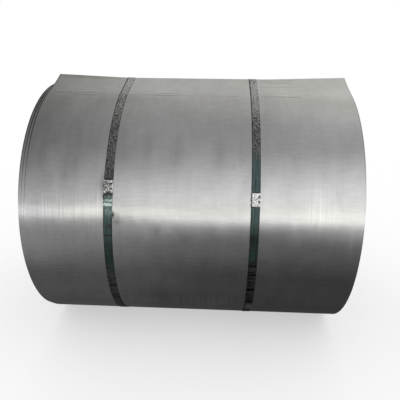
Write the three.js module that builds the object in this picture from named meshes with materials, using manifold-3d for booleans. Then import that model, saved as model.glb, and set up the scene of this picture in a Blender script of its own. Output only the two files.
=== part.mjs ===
// A coil of bare steel strip, lying on its side, held by two steel straps with crimped seals.
//
// Millimetres, +Z up. The coil's axis runs along X at a height above the floor; the seals face -Y.
// Every piece is drawn in the coil's own frame first: its axis is local z, local x points to the
// back, local y points up. An angle there starts at the back and grows over the top to the front.
// The strip is wound so that its free end comes up the front and stops just before the top.

import * as THREE from "three";
import { mergeVertices } from "three/addons/utils/BufferGeometryUtils.js";
import Module from "manifold-3d";

const wasm = await Module();
wasm.setup();

// ---- driving dimensions -------------------------------------------------------------------

const stripWidth = 1219; // a 48 inch strip
const stripGauge = 3;
const boreDiameter = 508; // wound on a 20 inch mandrel
const laps = 88;

const telescopeTurns = 2.25; // the outermost laps drift along the axis ...
const telescopePerTurn = 12; // ... by this much a turn, toward +X
const tailAngleDegrees = 92; // where the strip's outer end stops, just before the top
const tailFreeDegrees = 20; // the last stretch, which springs off the coil
const tailLift = 21.7; // how far the end stands off between the straps
const tailCornerLift = 33.6; // and at its two corners

const turnsMarkPitch = 24; // one turn of the groove on an end face stands for eight laps
const turnsMarkWidth = 5;
const turnsMarkDepth = 4;

const strapWidth = 32; // 1 1/4 inch strapping
const strapGauge = 1;
const sealGauge = 1;
const sealLength = 48;
const sealLip = 9; // how far a seal folds under its strap on each side
const crimpDepth = 5;
const crimpWidth = 7;
const crimpSpacing = 22;
const hiddenEnd = 14; // the covered strap end runs on past its seal by this much
const strapRamp = 28; // the length over which the strap climbs onto that end

const leftStrapAt = -294; // along the axis from the middle of the coil
const rightStrapAt = 236;
const straps = [
  { side: "left", along: leftStrapAt, slant: 0.0175, sealHeightDegrees: 20.5, endHeightDegrees: 1 },
  { side: "right", along: rightStrapAt, slant: 0, sealHeightDegrees: 16.7, endHeightDegrees: -11.6 },
];

const clearance = 0.3; // between pieces that touch
const bite = 0.6; // how deep each lap is fused into the one below it
const facets = 72; // round a full turn; one facet is level underneath
const markFacets = 36; // round a turn of the groove

// ---- derived sizes ------------------------------------------------------------------------

const degrees = Math.PI / 180;
const facet = (2 * Math.PI) / facets;
const boreRadius = boreDiameter / 2;
const outerRadius = boreRadius + laps * stripGauge;
const telescope = telescopeTurns * telescopePerTurn;
const coreLeft = -(stripWidth + telescope) / 2; // the tight laps' two end faces
const coreRight = coreLeft + stripWidth;
const looseLapCount = Math.ceil(telescopeTurns); // laps drawn one by one round the tight ones
const coreRadius = outerRadius - looseLapCount * stripGauge;
const tailAngle = onFacetLine(tailAngleDegrees * degrees);
const tailFacets = Math.max(2, Math.round((tailFreeDegrees * degrees) / facet));
const sealRise = sealGauge + clearance; // a seal's lips lift its strap off the coil by this

// The nearest angle at which facets meet, with one facet centred on the bottom.
function onFacetLine(angle) {
  return (Math.round(angle / facet - 0.5) + 0.5) * facet;
}

// ---- geometry helpers ---------------------------------------------------------------------

const polar = (radius, angle) => new THREE.Vector2(Math.cos(angle), Math.sin(angle)).multiplyScalar(radius);
const angleOf = (point) => Math.atan2(point.y, point.x);

// Angle `to` measured on from angle `from`, between 0 and a full turn.
function onwards(from, to) {
  const full = 2 * Math.PI;
  return (((to - from) % full) + full) % full;
}

// A closed body through outlines of (radius, along), one at each angle, all with as many points.
function sweepRound(sections) {
  const count = sections[0].outline.length;
  const position = sections.flatMap(({ angle, outline }) =>
    outline.flatMap(({ x: radius, y: along }) => [...polar(radius, angle), along]),
  );
  const index = [];
  for (let s = 0; s + 1 < sections.length; s++) {
    for (let i = 0; i < count; i++) {
      const [a, b] = [s * count + i, s * count + ((i + 1) % count)];
      index.push(a, a + count, b + count, a, b + count, b);
    }
  }
  const last = (sections.length - 1) * count;
  const cap = (section) => THREE.ShapeUtils.triangulateShape(section.outline, []);
  for (const [a, b, c] of cap(sections[0])) index.push(a, b, c);
  for (const [a, b, c] of cap(sections.at(-1))) index.push(last + a, last + c, last + b);
  const geometry = new THREE.BufferGeometry();
  geometry.setAttribute("position", new THREE.Float32BufferAttribute(position, 3));
  return geometry.setIndex(index);
}

function toSolid(geometry) {
  const bare = geometry.clone();
  bare.deleteAttribute("normal");
  bare.deleteAttribute("uv");
  const welded = mergeVertices(bare, 1e-4);
  const mesh = new wasm.Mesh({
    numProp: 3,
    vertProperties: new Float32Array(welded.attributes.position.array),
    triVerts: new Uint32Array(welded.index.array),
  });
  return new wasm.Manifold(mesh);
}

function toGeometry(solid) {
  const mesh = solid.getMesh();
  const geometry = new THREE.BufferGeometry();
  geometry.setAttribute("position", new THREE.BufferAttribute(mesh.vertProperties, 3));
  geometry.setIndex(new THREE.BufferAttribute(mesh.triVerts, 1));
  geometry.computeVertexNormals();
  return geometry;
}

const join = (solids) => solids.reduce((whole, next) => whole.add(next));

// The smallest convex loop round a set of points, counter-clockwise.
function convexLoop(points) {
  const sorted = [...points].sort((p, q) => p.x - q.x || p.y - q.y);
  const turnsLeft = (o, a, b) => a.clone().sub(o).cross(b.clone().sub(o)) > 1e-6;
  const chain = (list) => {
    const kept = [];
    for (const point of list) {
      while (kept.length > 1 && !turnsLeft(kept.at(-2), kept.at(-1), point)) kept.pop();
      kept.push(point);
    }
    return kept.slice(0, -1);
  };
  return [...chain(sorted), ...chain(sorted.reverse())];
}

// The loop moved outwards by a distance, corner for corner.
function offsetLoop(loop, distance) {
  return loop.map((point, i) => {
    const before = point.clone().sub(loop.at(i - 1)).normalize();
    const after = loop[(i + 1) % loop.length].clone().sub(point).normalize();
    const bisector = new THREE.Vector2(before.y + after.y, -before.x - after.x).normalize();
    const spread = bisector.dot(new THREE.Vector2(after.y, -after.x));
    return point.clone().addScaledVector(bisector, distance / spread);
  });
}

// Where a ray from the axis crosses a loop.
function crossing(loop, angle) {
  const ray = polar(1, angle);
  const i = loop.findIndex((point, k) => {
    const span = onwards(angleOf(point), angleOf(loop[(k + 1) % loop.length]));
    return onwards(angleOf(point), angle) <= span;
  });
  const edge = loop[(i + 1) % loop.length].clone().sub(loop[i]);
  return ray.clone().multiplyScalar(loop[i].cross(edge) / ray.cross(edge));
}

// The stretch of a loop from one angle to a later one, with its corners in between.
function stretch(loop, from, to) {
  const corners = loop
    .map((point) => ({ point, step: onwards(from, angleOf(point)) }))
    .filter(({ step }) => step > 1e-3 && step < to - from - 1e-3)
    .sort((p, q) => p.step - q.step)
    .map(({ point }) => point);
  return [crossing(loop, from), ...corners, crossing(loop, to)];
}

// ---- the wound strip ----------------------------------------------------------------------

// Along the strip, `turn` counts full turns back from its outer end.
const lapRadius = (turn) => outerRadius - stripGauge * turn;
const lapAngle = (turn) => tailAngle + 2 * Math.PI * turn;
const lapShift = (turn) => telescopePerTurn * Math.max(0, telescopeTurns - turn);
const tailTurns = tailFacets / facets;
const openFacets = 4; // a lap that thins out to nothing stops this far short of its full turn

// The places along the axis where the free end changes slope: its edges, and both sides of each strap.
const restOfStrap = (strap) => strapWidth / 2 + Math.abs(strap.slant) * outerRadius + 4 * clearance;
const strapEdges = straps.flatMap((strap) => [
  strap.along - restOfStrap(strap),
  strap.along + restOfStrap(strap),
]);

// How far the free end stands off the lap below it: flat from strap to strap, higher at the corners.
function tailRise(turn, along) {
  const left = coreLeft + lapShift(0);
  const right = coreRight + lapShift(0);
  const [first, last] = [strapEdges[0], strapEdges.at(-1)];
  const outside = Math.max(0, (first - along) / (first - left), (along - last) / (right - last));
  const atEnd = tailLift + (tailCornerLift - tailLift) * Math.min(1, outside);
  return atEnd * Math.max(0, 1 - turn / tailTurns) ** 2;
}

function lapSection(turn) {
  const radius = lapRadius(turn);
  const stations = [coreLeft + lapShift(turn), ...strapEdges, coreRight + lapShift(turn)];
  const lifted = tailRise(turn, 0) > stripGauge / 2;
  const outer = stations.map((along) => new THREE.Vector2(radius + tailRise(turn, along), along));
  const inner = stations.map((along) => {
    const under = lifted ? tailRise(turn, along) : -bite;
    return new THREE.Vector2(radius - stripGauge + under, along);
  });
  return { angle: lapAngle(turn), outline: [...inner.reverse(), ...outer] };
}

// A lap section without the free end's stations.
function plainLapSection(turn) {
  const [near, far] = [lapRadius(turn) - stripGauge - bite, lapRadius(turn)];
  const [left, right] = [coreLeft + lapShift(turn), coreRight + lapShift(turn)];
  const corners = [[near, right], [near, left], [far, left], [far, right]];
  return { angle: lapAngle(turn), outline: corners.map(([r, along]) => new THREE.Vector2(r, along)) };
}

const facetRange = (from, to) => Array.from({ length: to - from + 1 }, (_, i) => (from + i) / facets);

// The loose outer laps, in half turns, so that no stretch meets itself. The free end runs on into
// the stretch that carries it.
function looseLaps() {
  const pieces = [sweepRound(facetRange(0, tailFacets + 1).map(lapSection))];
  const end = looseLapCount * facets - openFacets;
  for (let from = tailFacets; from < end; from += facets / 2) {
    pieces.push(sweepRound(facetRange(from, Math.min(end, from + facets / 2)).map(plainLapSection)));
  }
  return pieces.map(toSolid);
}

// The tight laps, turned as one ring.
function tightLaps() {
  const bore = boreRadius + stripGauge;
  const profile = [
    [bore, coreLeft],
    [coreRadius, coreLeft],
    [coreRadius, coreRight],
    [bore, coreRight],
    [bore, coreLeft],
  ].map(([radius, along]) => new THREE.Vector2(radius, along));
  const ring = new THREE.LatheGeometry(profile, facets, facet / 2);
  ring.rotateX(Math.PI / 2);
  return toSolid(ring);
}

// The innermost lap, whose inner end leaves a step in the bore.
function innermostLap() {
  const section = (turn) => {
    const [near, far] = [boreRadius + stripGauge * turn, boreRadius + stripGauge + bite];
    const corners = [[near, coreRight], [near, coreLeft], [far, coreLeft], [far, coreRight]];
    return {
      angle: tailAngle - 2 * Math.PI * turn,
      outline: corners.map(([r, along]) => new THREE.Vector2(r, along)),
    };
  };
  const turns = facetRange(0, facets - openFacets).reverse();
  return toSolid(sweepRound(turns.map(section)));
}

// A V groove that winds across an end face the way the strip does.
function turnsMark(face, inward) {
  const start = coreRadius - turnsMarkWidth;
  const end = boreRadius + stripGauge + turnsMarkWidth;
  const turns = (start - end) / turnsMarkPitch;
  const steps = Math.round(turns * markFacets);
  const sections = Array.from({ length: steps + 1 }, (_, i) => {
    const turn = (turns * i) / steps;
    const radius = start - turnsMarkPitch * turn;
    const wide = turnsMarkWidth;
    const corners = [
      new THREE.Vector2(radius - wide, face - inward * turnsMarkDepth),
      new THREE.Vector2(radius, face + inward * turnsMarkDepth),
      new THREE.Vector2(radius + wide, face - inward * turnsMarkDepth),
    ];
    return { angle: lapAngle(turn), outline: inward > 0 ? corners.reverse() : corners };
  });
  return toSolid(sweepRound(sections));
}

function woundStrip() {
  const wound = join([tightLaps(), ...looseLaps(), innermostLap()]);
  return wound.subtract(turnsMark(coreLeft, 1)).subtract(turnsMark(coreRight, -1));
}

// ---- straps and seals ---------------------------------------------------------------------

// A strap drawn tight follows the convex loop round the coil, its free end and the seal's lips.
function tightLoop(sealAngle) {
  const surface = facetRange(0, facets).map((turn) =>
    polar(lapRadius(turn) + tailRise(turn, 0), lapAngle(turn)),
  );
  const seat = outerRadius + sealRise;
  const half = sealLength / 2 + strapGauge;
  const lips = [half, -half].map((round) => {
    return polar(Math.hypot(seat, round), sealAngle + Math.atan(round / seat));
  });
  return convexLoop([...surface, ...lips]);
}

// The strap's layers as distances out from that loop.
const layer = {
  inner: clearance,
  top: clearance + strapGauge,
  overInner: 2 * clearance + strapGauge,
  overTop: 2 * clearance + 2 * strapGauge,
};

// The strap's outline: once round the coil, and on over its own covered end.
function strapShape(strap, sealAngle, endAngle) {
  const loop = tightLoop(sealAngle);
  const coveredEnd = sealAngle - (sealLength / 2 + hiddenEnd) / outerRadius;
  const rampStart = coveredEnd - strapRamp / outerRadius;
  const rampTop = coveredEnd - strapGauge / outerRadius;
  const full = 2 * Math.PI;
  const side = (near, over) => [
    ...stretch(offsetLoop(loop, near), coveredEnd, rampStart + full),
    ...stretch(offsetLoop(loop, over), rampTop + full, endAngle + full),
  ];
  const outside = side(layer.top, layer.overTop);
  const inside = side(layer.inner, layer.overInner);
  return new THREE.Shape([...inside, ...outside.reverse()]);
}

// Moves a piece drawn round the seal (x along the axis, y outwards, z round the coil) to its place.
function atSeal(geometry, strap, sealAngle) {
  const out = new THREE.Vector3(...polar(1, sealAngle), 0);
  const axis = new THREE.Vector3(0, 0, 1);
  const round = axis.clone().cross(out);
  const place = new THREE.Matrix4().makeBasis(axis, out, round);
  place.setPosition(out.multiplyScalar(outerRadius + sealRise).addScaledVector(axis, strap.along));
  return geometry.applyMatrix4(place);
}

function extrudeCentred(shape, depth) {
  return new THREE.ExtrudeGeometry(shape, { depth, bevelEnabled: false }).translate(0, 0, -depth / 2);
}

// A seal: a sheet sleeve folded round both strap ends, open between its lips underneath.
function sealShape() {
  const [halfIn, halfOut] = [strapWidth / 2 + clearance, strapWidth / 2 + clearance + sealGauge];
  const top = layer.overTop + clearance;
  const points = [
    [-halfOut, -sealGauge],
    [-halfOut + sealGauge + sealLip, -sealGauge],
    [-halfOut + sealGauge + sealLip, 0],
    [-halfIn, 0],
    [-halfIn, top],
    [halfIn, top],
    [halfIn, 0],
    [halfOut - sealGauge - sealLip, 0],
    [halfOut - sealGauge - sealLip, -sealGauge],
    [halfOut, -sealGauge],
    [halfOut, top + sealGauge],
    [-halfOut, top + sealGauge],
  ];
  return new THREE.Shape(points.map(([x, y]) => new THREE.Vector2(x, y)));
}

// The four bites that the crimping tool leaves in the seal's edges.
function crimps(strap, sealAngle) {
  const reach = strapWidth / 2 + clearance + sealGauge;
  const crimpReach = layer.overTop + crimpDepth + sealGauge; // through seal and straps, both ways
  return [-1, 1].flatMap((end) =>
    [-1, 1].map((side) => {
      const notch = new THREE.Shape([
        new THREE.Vector2(side * (reach - crimpDepth), 0),
        new THREE.Vector2(side * (reach + crimpDepth), -crimpWidth),
        new THREE.Vector2(side * (reach + crimpDepth), crimpWidth),
      ]);
      const tool = extrudeCentred(notch, 2 * crimpReach).rotateX(Math.PI / 2);
      tool.translate(0, 0, (end * crimpSpacing) / 2);
      return toSolid(atSeal(tool, strap, sealAngle));
    }),
  );
}

// Leans a piece along the axis with height, as a strap that isn't quite square to the coil lies.
function lean(geometry, strap) {
  return geometry.applyMatrix4(new THREE.Matrix4().makeShear(0, 0, 0, strap.slant, 0, 0));
}

function strapAndSeal(strap) {
  const sealAngle = Math.PI - strap.sealHeightDegrees * degrees;
  const endAngle = Math.PI - strap.endHeightDegrees * degrees;
  const band = extrudeCentred(strapShape(strap, sealAngle, endAngle), strapWidth);
  const sleeve = extrudeCentred(sealShape(), sealLength);
  const tools = crimps(strap, sealAngle);
  const crimped = (geometry) => {
    return toGeometry(tools.reduce((rest, tool) => rest.subtract(tool), toSolid(geometry)));
  };
  return [
    lean(crimped(band.translate(0, 0, strap.along)), strap),
    lean(crimped(atSeal(sleeve, strap, sealAngle)), strap),
  ];
}

// ---- the whole coil -----------------------------------------------------------------------

const rolledSteel = new THREE.MeshStandardMaterial({ color: 0x8f9192, roughness: 0.38, metalness: 0.9 });
const strapPaint = new THREE.MeshStandardMaterial({ color: 0x27332f, roughness: 0.45, metalness: 0.4 });
const sealSteel = new THREE.MeshStandardMaterial({ color: 0xc9cbc8, roughness: 0.35, metalness: 0.9 });

function piece(name, geometry, material) {
  const mesh = new THREE.Mesh(geometry, material);
  mesh.name = name;
  return mesh;
}

const lying = new THREE.Group(); // turns the coil's own frame: its axis along X, its front to -Y
lying.setRotationFromAxisAngle(new THREE.Vector3(1, 1, 1).normalize(), (2 * Math.PI) / 3);
lying.add(piece("wound_strip", toGeometry(woundStrip()), rolledSteel));

for (const strap of straps) {
  const [band, sleeve] = strapAndSeal(strap);
  lying.add(piece(`strap_${strap.side}`, band, strapPaint), piece(`seal_${strap.side}`, sleeve, sealSteel));
}

const coil = new THREE.Group();
coil.add(lying);
coil.updateMatrixWorld(true);
lying.position.z = -new THREE.Box3().setFromObject(coil, true).min.z;

export default coil;
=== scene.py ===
"""A coil of rolled steel strip lying on its side, held by two steel straps with crimped seals.

Metres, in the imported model's own frame: the coil's axis runs along X, its front faces -Y and the
floor is at z = 0. An angle round the coil starts at the back, +Y, and grows over the top to the
front, the way the strip runs inwards from its free end.
"""

import math
from types import SimpleNamespace

import bmesh
import bpy
from mathutils import Matrix, Vector


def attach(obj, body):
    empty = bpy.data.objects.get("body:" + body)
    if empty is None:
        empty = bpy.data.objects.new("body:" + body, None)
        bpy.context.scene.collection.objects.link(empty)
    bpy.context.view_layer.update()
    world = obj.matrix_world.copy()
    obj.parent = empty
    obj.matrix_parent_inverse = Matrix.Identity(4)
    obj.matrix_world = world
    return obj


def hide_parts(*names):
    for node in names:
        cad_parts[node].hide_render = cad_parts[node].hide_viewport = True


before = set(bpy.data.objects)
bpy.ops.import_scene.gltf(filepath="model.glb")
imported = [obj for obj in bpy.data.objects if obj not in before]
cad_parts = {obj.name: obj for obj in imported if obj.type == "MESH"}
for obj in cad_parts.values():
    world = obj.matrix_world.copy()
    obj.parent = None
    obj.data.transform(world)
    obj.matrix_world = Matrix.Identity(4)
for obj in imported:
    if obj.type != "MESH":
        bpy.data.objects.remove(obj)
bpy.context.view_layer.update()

# ---- sizes ----

MM = 0.001
FULL_TURN = 2 * math.pi
AXIS_HEIGHT = 517.35 * MM

STRIP_WIDTH = 1219 * MM
STRIP_PITCH = 3 * MM  # from one lap to the next
STRIP_GAUGE = 2.8 * MM  # leaves a dark line between laps
OUTER_RADIUS = 517.5 * MM
LAP_LENGTH = FULL_TURN * OUTER_RADIUS
LAPS = 87
STEPS_PER_TURN = 96

DRIFT_LAPS = 2.25  # the outermost laps drift along the axis, toward +X
DRIFT_PER_LAP = 12 * MM
STRIP_LEFT = -(STRIP_WIDTH + DRIFT_LAPS * DRIFT_PER_LAP) / 2  # the tight laps' left edge
STRIP_RIGHT = STRIP_LEFT + STRIP_WIDTH
WANDERS_FROM_LAP = 2.5  # where the laps' edges start to wander to and fro
EDGE_WANDER = ((0.9, 0.83, 0.4), (0.5, 2.9, 1.3), (0.35, 7.7, 0.0))  # millimetres, pace, start

TAIL_ANGLE = math.radians(92.5)  # where the strip's outer end stops
TAIL_SPRING = math.radians(16.3)  # the last stretch, which stands off the coil
TAIL_CORNER_LIFT = 11.9 * MM  # what its corners rise beyond the straps

STRAP_WIDTH = 32 * MM
STRAP_GAUGE = 1 * MM
STRAP_REST = 22 * MM  # half the width over which a strap keeps the free end flat
EDGE_FROM = 0.9  # what counts as a strap's edge, where its middle is 0 and the edge itself 1
CLEARANCE = 0.3 * MM
TIP_ROUND = 2 * MM  # the bend of a strap over the free end's edge
HIDDEN_END = 14 * MM  # how far the covered strap end runs on past its seal
END_LIFT = 1.6 * MM  # how far the strap's outer end stands off
END_LIFTS_OVER = 26 * MM
END_CUTS = (0.25, 0.5, 0.75)  # where that last stretch is cut, to bend

SEAL_GAUGE = 1 * MM
SEAL_LENGTH = 48 * MM
SEAL_LIP = 9 * MM
SEAL_COLUMNS = 25
SEAL_ROWS = 36
BITE_SPACING = 22 * MM
BITE_WIDTH = 7 * MM
BITE_DEPTH = 5 * MM
SEAL_SEAT = OUTER_RADIUS + CLEARANCE + SEAL_GAUGE  # what the straps lie on inside a seal

WELD = 0.01 * MM  # points nearer to each other are merged
TOUCH = 0.05 * MM  # places nearer to each other are taken for one
SLACK = 0.1 * MM  # what a test of place leaves for round-off
LEAST_BEND = 1e-5  # a smaller bend is left out

# What sets the two straps apart, with heights in metres above the floor:
#   along, lean     where the strap's middle lies, and how far it leans along X with height
#   seal, end       the angles of its seal and of its outer end
#   kinks           how far below the seal, how far the left edge, middle and right edge stand
#                   off there, and how far the left edge bulges, in millimetres
#   folds           ridges across the seal, in millimetres right and up of its middle: from one
#                   point to another, and their height
#   dusty, sooty    between which heights dust settles, with a painted grey sheen where the top
#                   catches light, and soot starts to hide the paint
#   shaded, tarred  between which the paint is painted darker as shade toward the floor, and dirt
#                   starts to hide it
#   tar, sooted     how light that dirt is, and how black its darkest patches are
#   bare            bands worn to the steel, and under the left seal a painted highlight where the
#                   kinked strap catches light: from the free end, their reach and strength
#   soiled, barred  the same for dirt, and for black bars of painted shade where the strap is
#   kinked
#   shadow_gap_edge     the edge that shows a painted shadow in the gap near the floor
#   soot, dirt      how far painted shade, with some dirt, spreads under and beside the seal, and
#                   how far dirt dulls the zinc
LEFT_STRAP = SimpleNamespace(
    side="left",
    along=-0.294,
    lean=0.0175,
    seal=math.radians(159.5),
    end=math.radians(179.0),
    kinks=(
        (4, 0, 0.4, 0, 0.3),
        (8, 1.3, 0.2, 0.9, 2.4),
        (13, 1.6, 0.9, 0.3, 2.9),
        (18, 0.3, 0.1, 0.9, 0.5),
        (24, 1.2, 1.9, 1.6, 0),
        (31, 0.6, 0.2, 0.8, 0),
        (38, 2.0, 2.5, 1.8, 0.2),
        (46, 0.2, 0.1, 0.2, 0),
    ),
    folds=(
        (-10, 15, -2, 7, 1.2),
        (-12, -9, 2, -5, 1.3),
        (4, 2, 13, 9, 1.0),
        (-3, -19, 6, -12, 1.1),
        (5, 16, 10, 20, 0.9),
    ),
    dust_and_sheen_zone=(0.9, 1.03),
    sooty=(0.69, 0.74),
    shaded=(0.6, 0.47),
    tarred=(0.42, 0.34),
    tar=0.038,
    sooted=0.1,
    # Under the seal these bands are a painted highlight where the kinked strap catches light.
    worn_and_glint=(
        (0.641, 0.011, 0.22),
        (0.655, 0.006, 0.85),
        (0.669, 0.008, 1.6),
        (0.692, 0.034, 0.28),
    ),
    soiled=(
        (0.215, 0.07, 1.1),
        (0.3, 0.08, 0.5),
        (0.645, 0.012, 0.9),
        (0.375, 0.03, 0.3),
        (0.575, 0.03, 0.5),
        (0.75, 0.02, 1.5),
        (0.84, 0.06, 0.8),
    ),
    shade_bars=(),
    shadow_gap_edge=STRAP_WIDTH,
    soot_and_shade=12 * MM,
    dirt=0.9,
)
RIGHT_STRAP = SimpleNamespace(
    side="right",
    along=0.236,
    lean=0.0,
    seal=math.radians(163.3),
    end=math.radians(191.6),
    kinks=(
        (79, 0.3, 0.1, 0.2, 0),
        (86, 1.2, 0.8, 1.0, 0),
        (94, 0.1, 0.2, 0.2, 0),
        (136, 0.2, 0.1, 0.1, 0),
        (143, 1.0, 1.1, 0.9, 0),
        (152, 0.9, 0.6, 0.2, 0),
        (160, 0.1, 0.1, 0.1, 0),
        (185, 0.2, 0.2, 0.2, 0),
        (194, 0.9, 1.2, 1.3, 0),
        (204, 0.2, 0.2, 0.1, 0),
    ),
    folds=(
        (-8, -2, 10, 7, 1.4),
        (-12, -3, -2, -15, 1.5),
        (1, -11, 8, -19, 1.3),
        (-13, 18, -9, 6, 1.0),
        (9, 20, 14, 16, 0.9),
        (-6, 12, 2, 8, 0.7),
    ),
    dust_and_sheen_zone=(0.87, 1.02),
    sooty=(0.79, 0.83),
    shaded=(0.61, 0.54),
    tarred=(0.42, 0.405),
    tar=0.024,
    sooted=0.8,
    worn_and_glint=((0.912, 0.014, 0.04), (1.18, 0.06, 0.28)),
    soiled=(
        (0.03, 0.045, 0.8),
        (0.35, 0.08, 1.4),
        (0.8, 0.07, 1.3),
        (0.79, 0.016, 1.0),
        (0.88, 0.018, 1.6),
        (1.05, 0.13, 1.6),
        (1.115, 0.008, 2.5),
    ),
    # Black bars of painted shade where the strap is kinked.
    shade_bars=(
        (0.785, 0.026, 0.35),
        (0.8935, 0.005, 1.0),
        (0.938, 0.006, 1.0),
        (0.957, 0.004, 1.0),
        (1.02, 0.008, 0.9),
        (1.115, 0.004, 1.0),
    ),
    shadow_gap_edge=0.0,
    soot_and_shade=5 * MM,
    dirt=0.2,
)
STRAPS = (LEFT_STRAP, RIGHT_STRAP)

FLAT_FROM = LEFT_STRAP.along - STRAP_REST
FLAT_TO = RIGHT_STRAP.along + STRAP_REST

# ---- places round the coil ----


def outward(angle):
    """The direction from the axis to an angle round the coil."""
    return Vector((0, math.cos(angle), math.sin(angle)))


def onward(angle):
    """The direction in which the angle grows."""
    return Vector((0, -math.sin(angle), math.cos(angle)))


def on_coil(angle, radius, along=0.0):
    return Vector((along, 0, AXIS_HEIGHT)) + outward(angle) * radius


def off_axis(point):
    """The direction away from the coil's axis at a point."""
    return Vector((0, point.y, point.z - AXIS_HEIGHT)).normalized()


# The strip winds in on half turns about two centres, a quarter of the pitch off the axis each.
CENTRE_OFFSET = STRIP_PITCH / 4
FIRST_CENTRE = on_coil(TAIL_ANGLE, CENTRE_OFFSET)
SECOND_CENTRE = on_coil(TAIL_ANGLE, -CENTRE_OFFSET)
FIRST_RADIUS = OUTER_RADIUS - CENTRE_OFFSET
SECOND_RADIUS = OUTER_RADIUS - 3 * CENTRE_OFFSET


def turn_at(point):
    """How far round a point lies from the strip's free end, from 0 up to 1 for a full turn."""
    angle = math.atan2(point.z - AXIS_HEIGHT, point.y)
    return (angle - TAIL_ANGLE) / FULL_TURN % 1


def length_to(angle):
    """How far round the outside of the coil an angle lies from the strip's free end."""
    return turn_at(on_coil(angle, OUTER_RADIUS)) * LAP_LENGTH


def lap_at(point):
    """How many laps, with their fraction, a point of the plain winding is from the free end."""
    turn = turn_at(point)
    centre = FIRST_CENTRE if turn < 0.5 else SECOND_CENTRE
    radius = FIRST_RADIUS if turn < 0.5 else SECOND_RADIUS
    reach = math.hypot(point.y - centre.y, point.z - centre.z)
    return round((radius - reach) / STRIP_PITCH) + turn


# ---- modelling by hand ----


def deselect_all():
    bpy.ops.object.select_all(action="DESELECT")
    bpy.context.view_layer.objects.active = None


def pick(piece):
    """Selects one piece alone."""
    deselect_all()
    piece.select_set(True)
    bpy.context.view_layer.objects.active = piece


def start_edit(piece):
    pick(piece)
    bpy.ops.object.mode_set(mode="EDIT")


def start_edit_of_all(piece, mode="VERT"):
    start_edit(piece)
    bpy.ops.mesh.select_mode(type=mode)
    bpy.ops.mesh.select_all(action="SELECT")


def end_edit():
    bpy.ops.object.mode_set(mode="OBJECT")


def select_where(kind, test):
    """Selects, in edit mode, the faces or edges whose middle passes a test."""
    bpy.ops.mesh.select_mode(type=kind)
    bpy.ops.mesh.select_all(action="DESELECT")
    shape = bmesh.from_edit_mesh(bpy.context.edit_object.data)
    for part in shape.faces if kind == "FACE" else shape.edges:
        corners = [corner.co for corner in part.verts]
        part.select_set(test(sum(corners, Vector()) / len(corners)))
    shape.select_flush_mode()
    bmesh.update_edit_mesh(bpy.context.edit_object.data)


def edge_across(name, width, middle):
    """A new piece that is one edge, as wide as a strip along X."""
    bpy.ops.mesh.primitive_plane_add(size=width, location=middle)
    piece = bpy.context.active_object
    piece.name = name
    piece.data.name = name
    bpy.ops.object.transform_apply()
    start_edit_of_all(piece)
    bpy.ops.transform.resize(value=(1, 0, 1), center_override=middle)
    bpy.ops.mesh.remove_doubles(threshold=WELD)
    end_edit()
    return piece


def bend_round(centre, angle, steps):
    """Carries the selected edges on round a centre. The tool counts its angle the other way."""
    bpy.ops.mesh.spin(steps=steps, angle=-angle, center=centre, axis=(1, 0, 0))


def carry_straight(move):
    """Carries the selected edges on in a straight line."""
    bpy.ops.mesh.extrude_region_move(TRANSFORM_OT_translate={"value": move})


def cut_faces(test, place, direction):
    """Cuts the faces whose middle passes a test along a plane, without parting them."""
    select_where("FACE", test)
    bpy.ops.mesh.bisect(plane_co=place, plane_no=direction)


def move_points(piece, place_for):
    for point in piece.data.vertices:
        point.co = place_for(point.co.copy())
    piece.data.update()


def add_modifier(piece, kind, **settings):
    """Gives a piece a modifier and applies it."""
    pick(piece)
    modifier = piece.modifiers.new(kind.title(), kind)
    for name, value in settings.items():
        setattr(modifier, name, value)
    bpy.ops.object.modifier_apply(modifier=modifier.name)


def make_plate(piece, gauge, offset, bevel, degrees, segments=1, rim_finish=0):
    """Thickens a surface, outwards where offset is 1 and inwards where it is -1, and bevels it."""
    add_modifier(
        piece,
        "SOLIDIFY",
        thickness=gauge,
        offset=offset,
        use_even_offset=True,
        material_offset_rim=rim_finish,
    )
    add_modifier(
        piece,
        "BEVEL",
        width=bevel,
        segments=segments,
        limit_method="ANGLE",
        angle_limit=math.radians(degrees),
    )


def weld_and_face(piece):
    """Merges doubles and turns the faces of a band round the coil outwards."""
    start_edit_of_all(piece)
    bpy.ops.mesh.remove_doubles(threshold=WELD)
    bpy.ops.mesh.normals_make_consistent(inside=False)
    shape = bmesh.from_edit_mesh(piece.data)
    shape.faces.ensure_lookup_table()
    shape.normal_update()
    sample = shape.faces[0]
    if sample.normal.dot(off_axis(sample.calc_center_median())) < 0:
        bpy.ops.mesh.flip_normals()
    end_edit()


def smooth_by_angle(piece, degrees):
    pick(piece)
    bpy.ops.object.shade_smooth_by_angle(angle=math.radians(degrees))
    deselect_all()


def map_flat(piece, left_edge, turns_at):
    """Maps a band as it lies flat, in metres: U from its left edge, V round the coil."""
    layer = piece.data.uv_layers.new(name="flat")
    for face in piece.data.polygons:
        middle = turns_at(face.center)
        for corner in face.loop_indices:
            point = piece.data.vertices[piece.data.loops[corner].vertex_index].co
            turns = turn_at(point)
            turns += round(middle - turns)
            layer.uv[corner].vector = (point.x - left_edge, turns * LAP_LENGTH)


# ---- the wound strip ----


def sideways(lap):
    """How far a lap's edges lie from the tight laps' own faces, along X."""
    drift = DRIFT_PER_LAP * max(0.0, DRIFT_LAPS - lap)
    settled = min(1.0, max(0.0, lap - WANDERS_FROM_LAP))
    wander = sum(size * math.sin(pace * lap + start) for size, pace, start in EDGE_WANDER)
    return drift + settled * wander * MM


def spring(lap, along):
    """How far the free end stands off: straight off the coil, and more toward its corners."""
    left = TAIL_SPRING - lap * FULL_TURN
    if left <= 0:
        return 0.0
    first_edge = STRIP_LEFT + sideways(0)
    last_edge = STRIP_RIGHT + sideways(0)
    beyond_left = (FLAT_FROM - along) / (FLAT_FROM - first_edge)
    beyond_right = (along - FLAT_TO) / (last_edge - FLAT_TO)
    beyond = min(1.0, max(0.0, beyond_left, beyond_right))
    straight = OUTER_RADIUS * (1 / math.cos(left) - 1)
    return straight + TAIL_CORNER_LIFT * beyond * (left / TAIL_SPRING) ** 2


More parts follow.
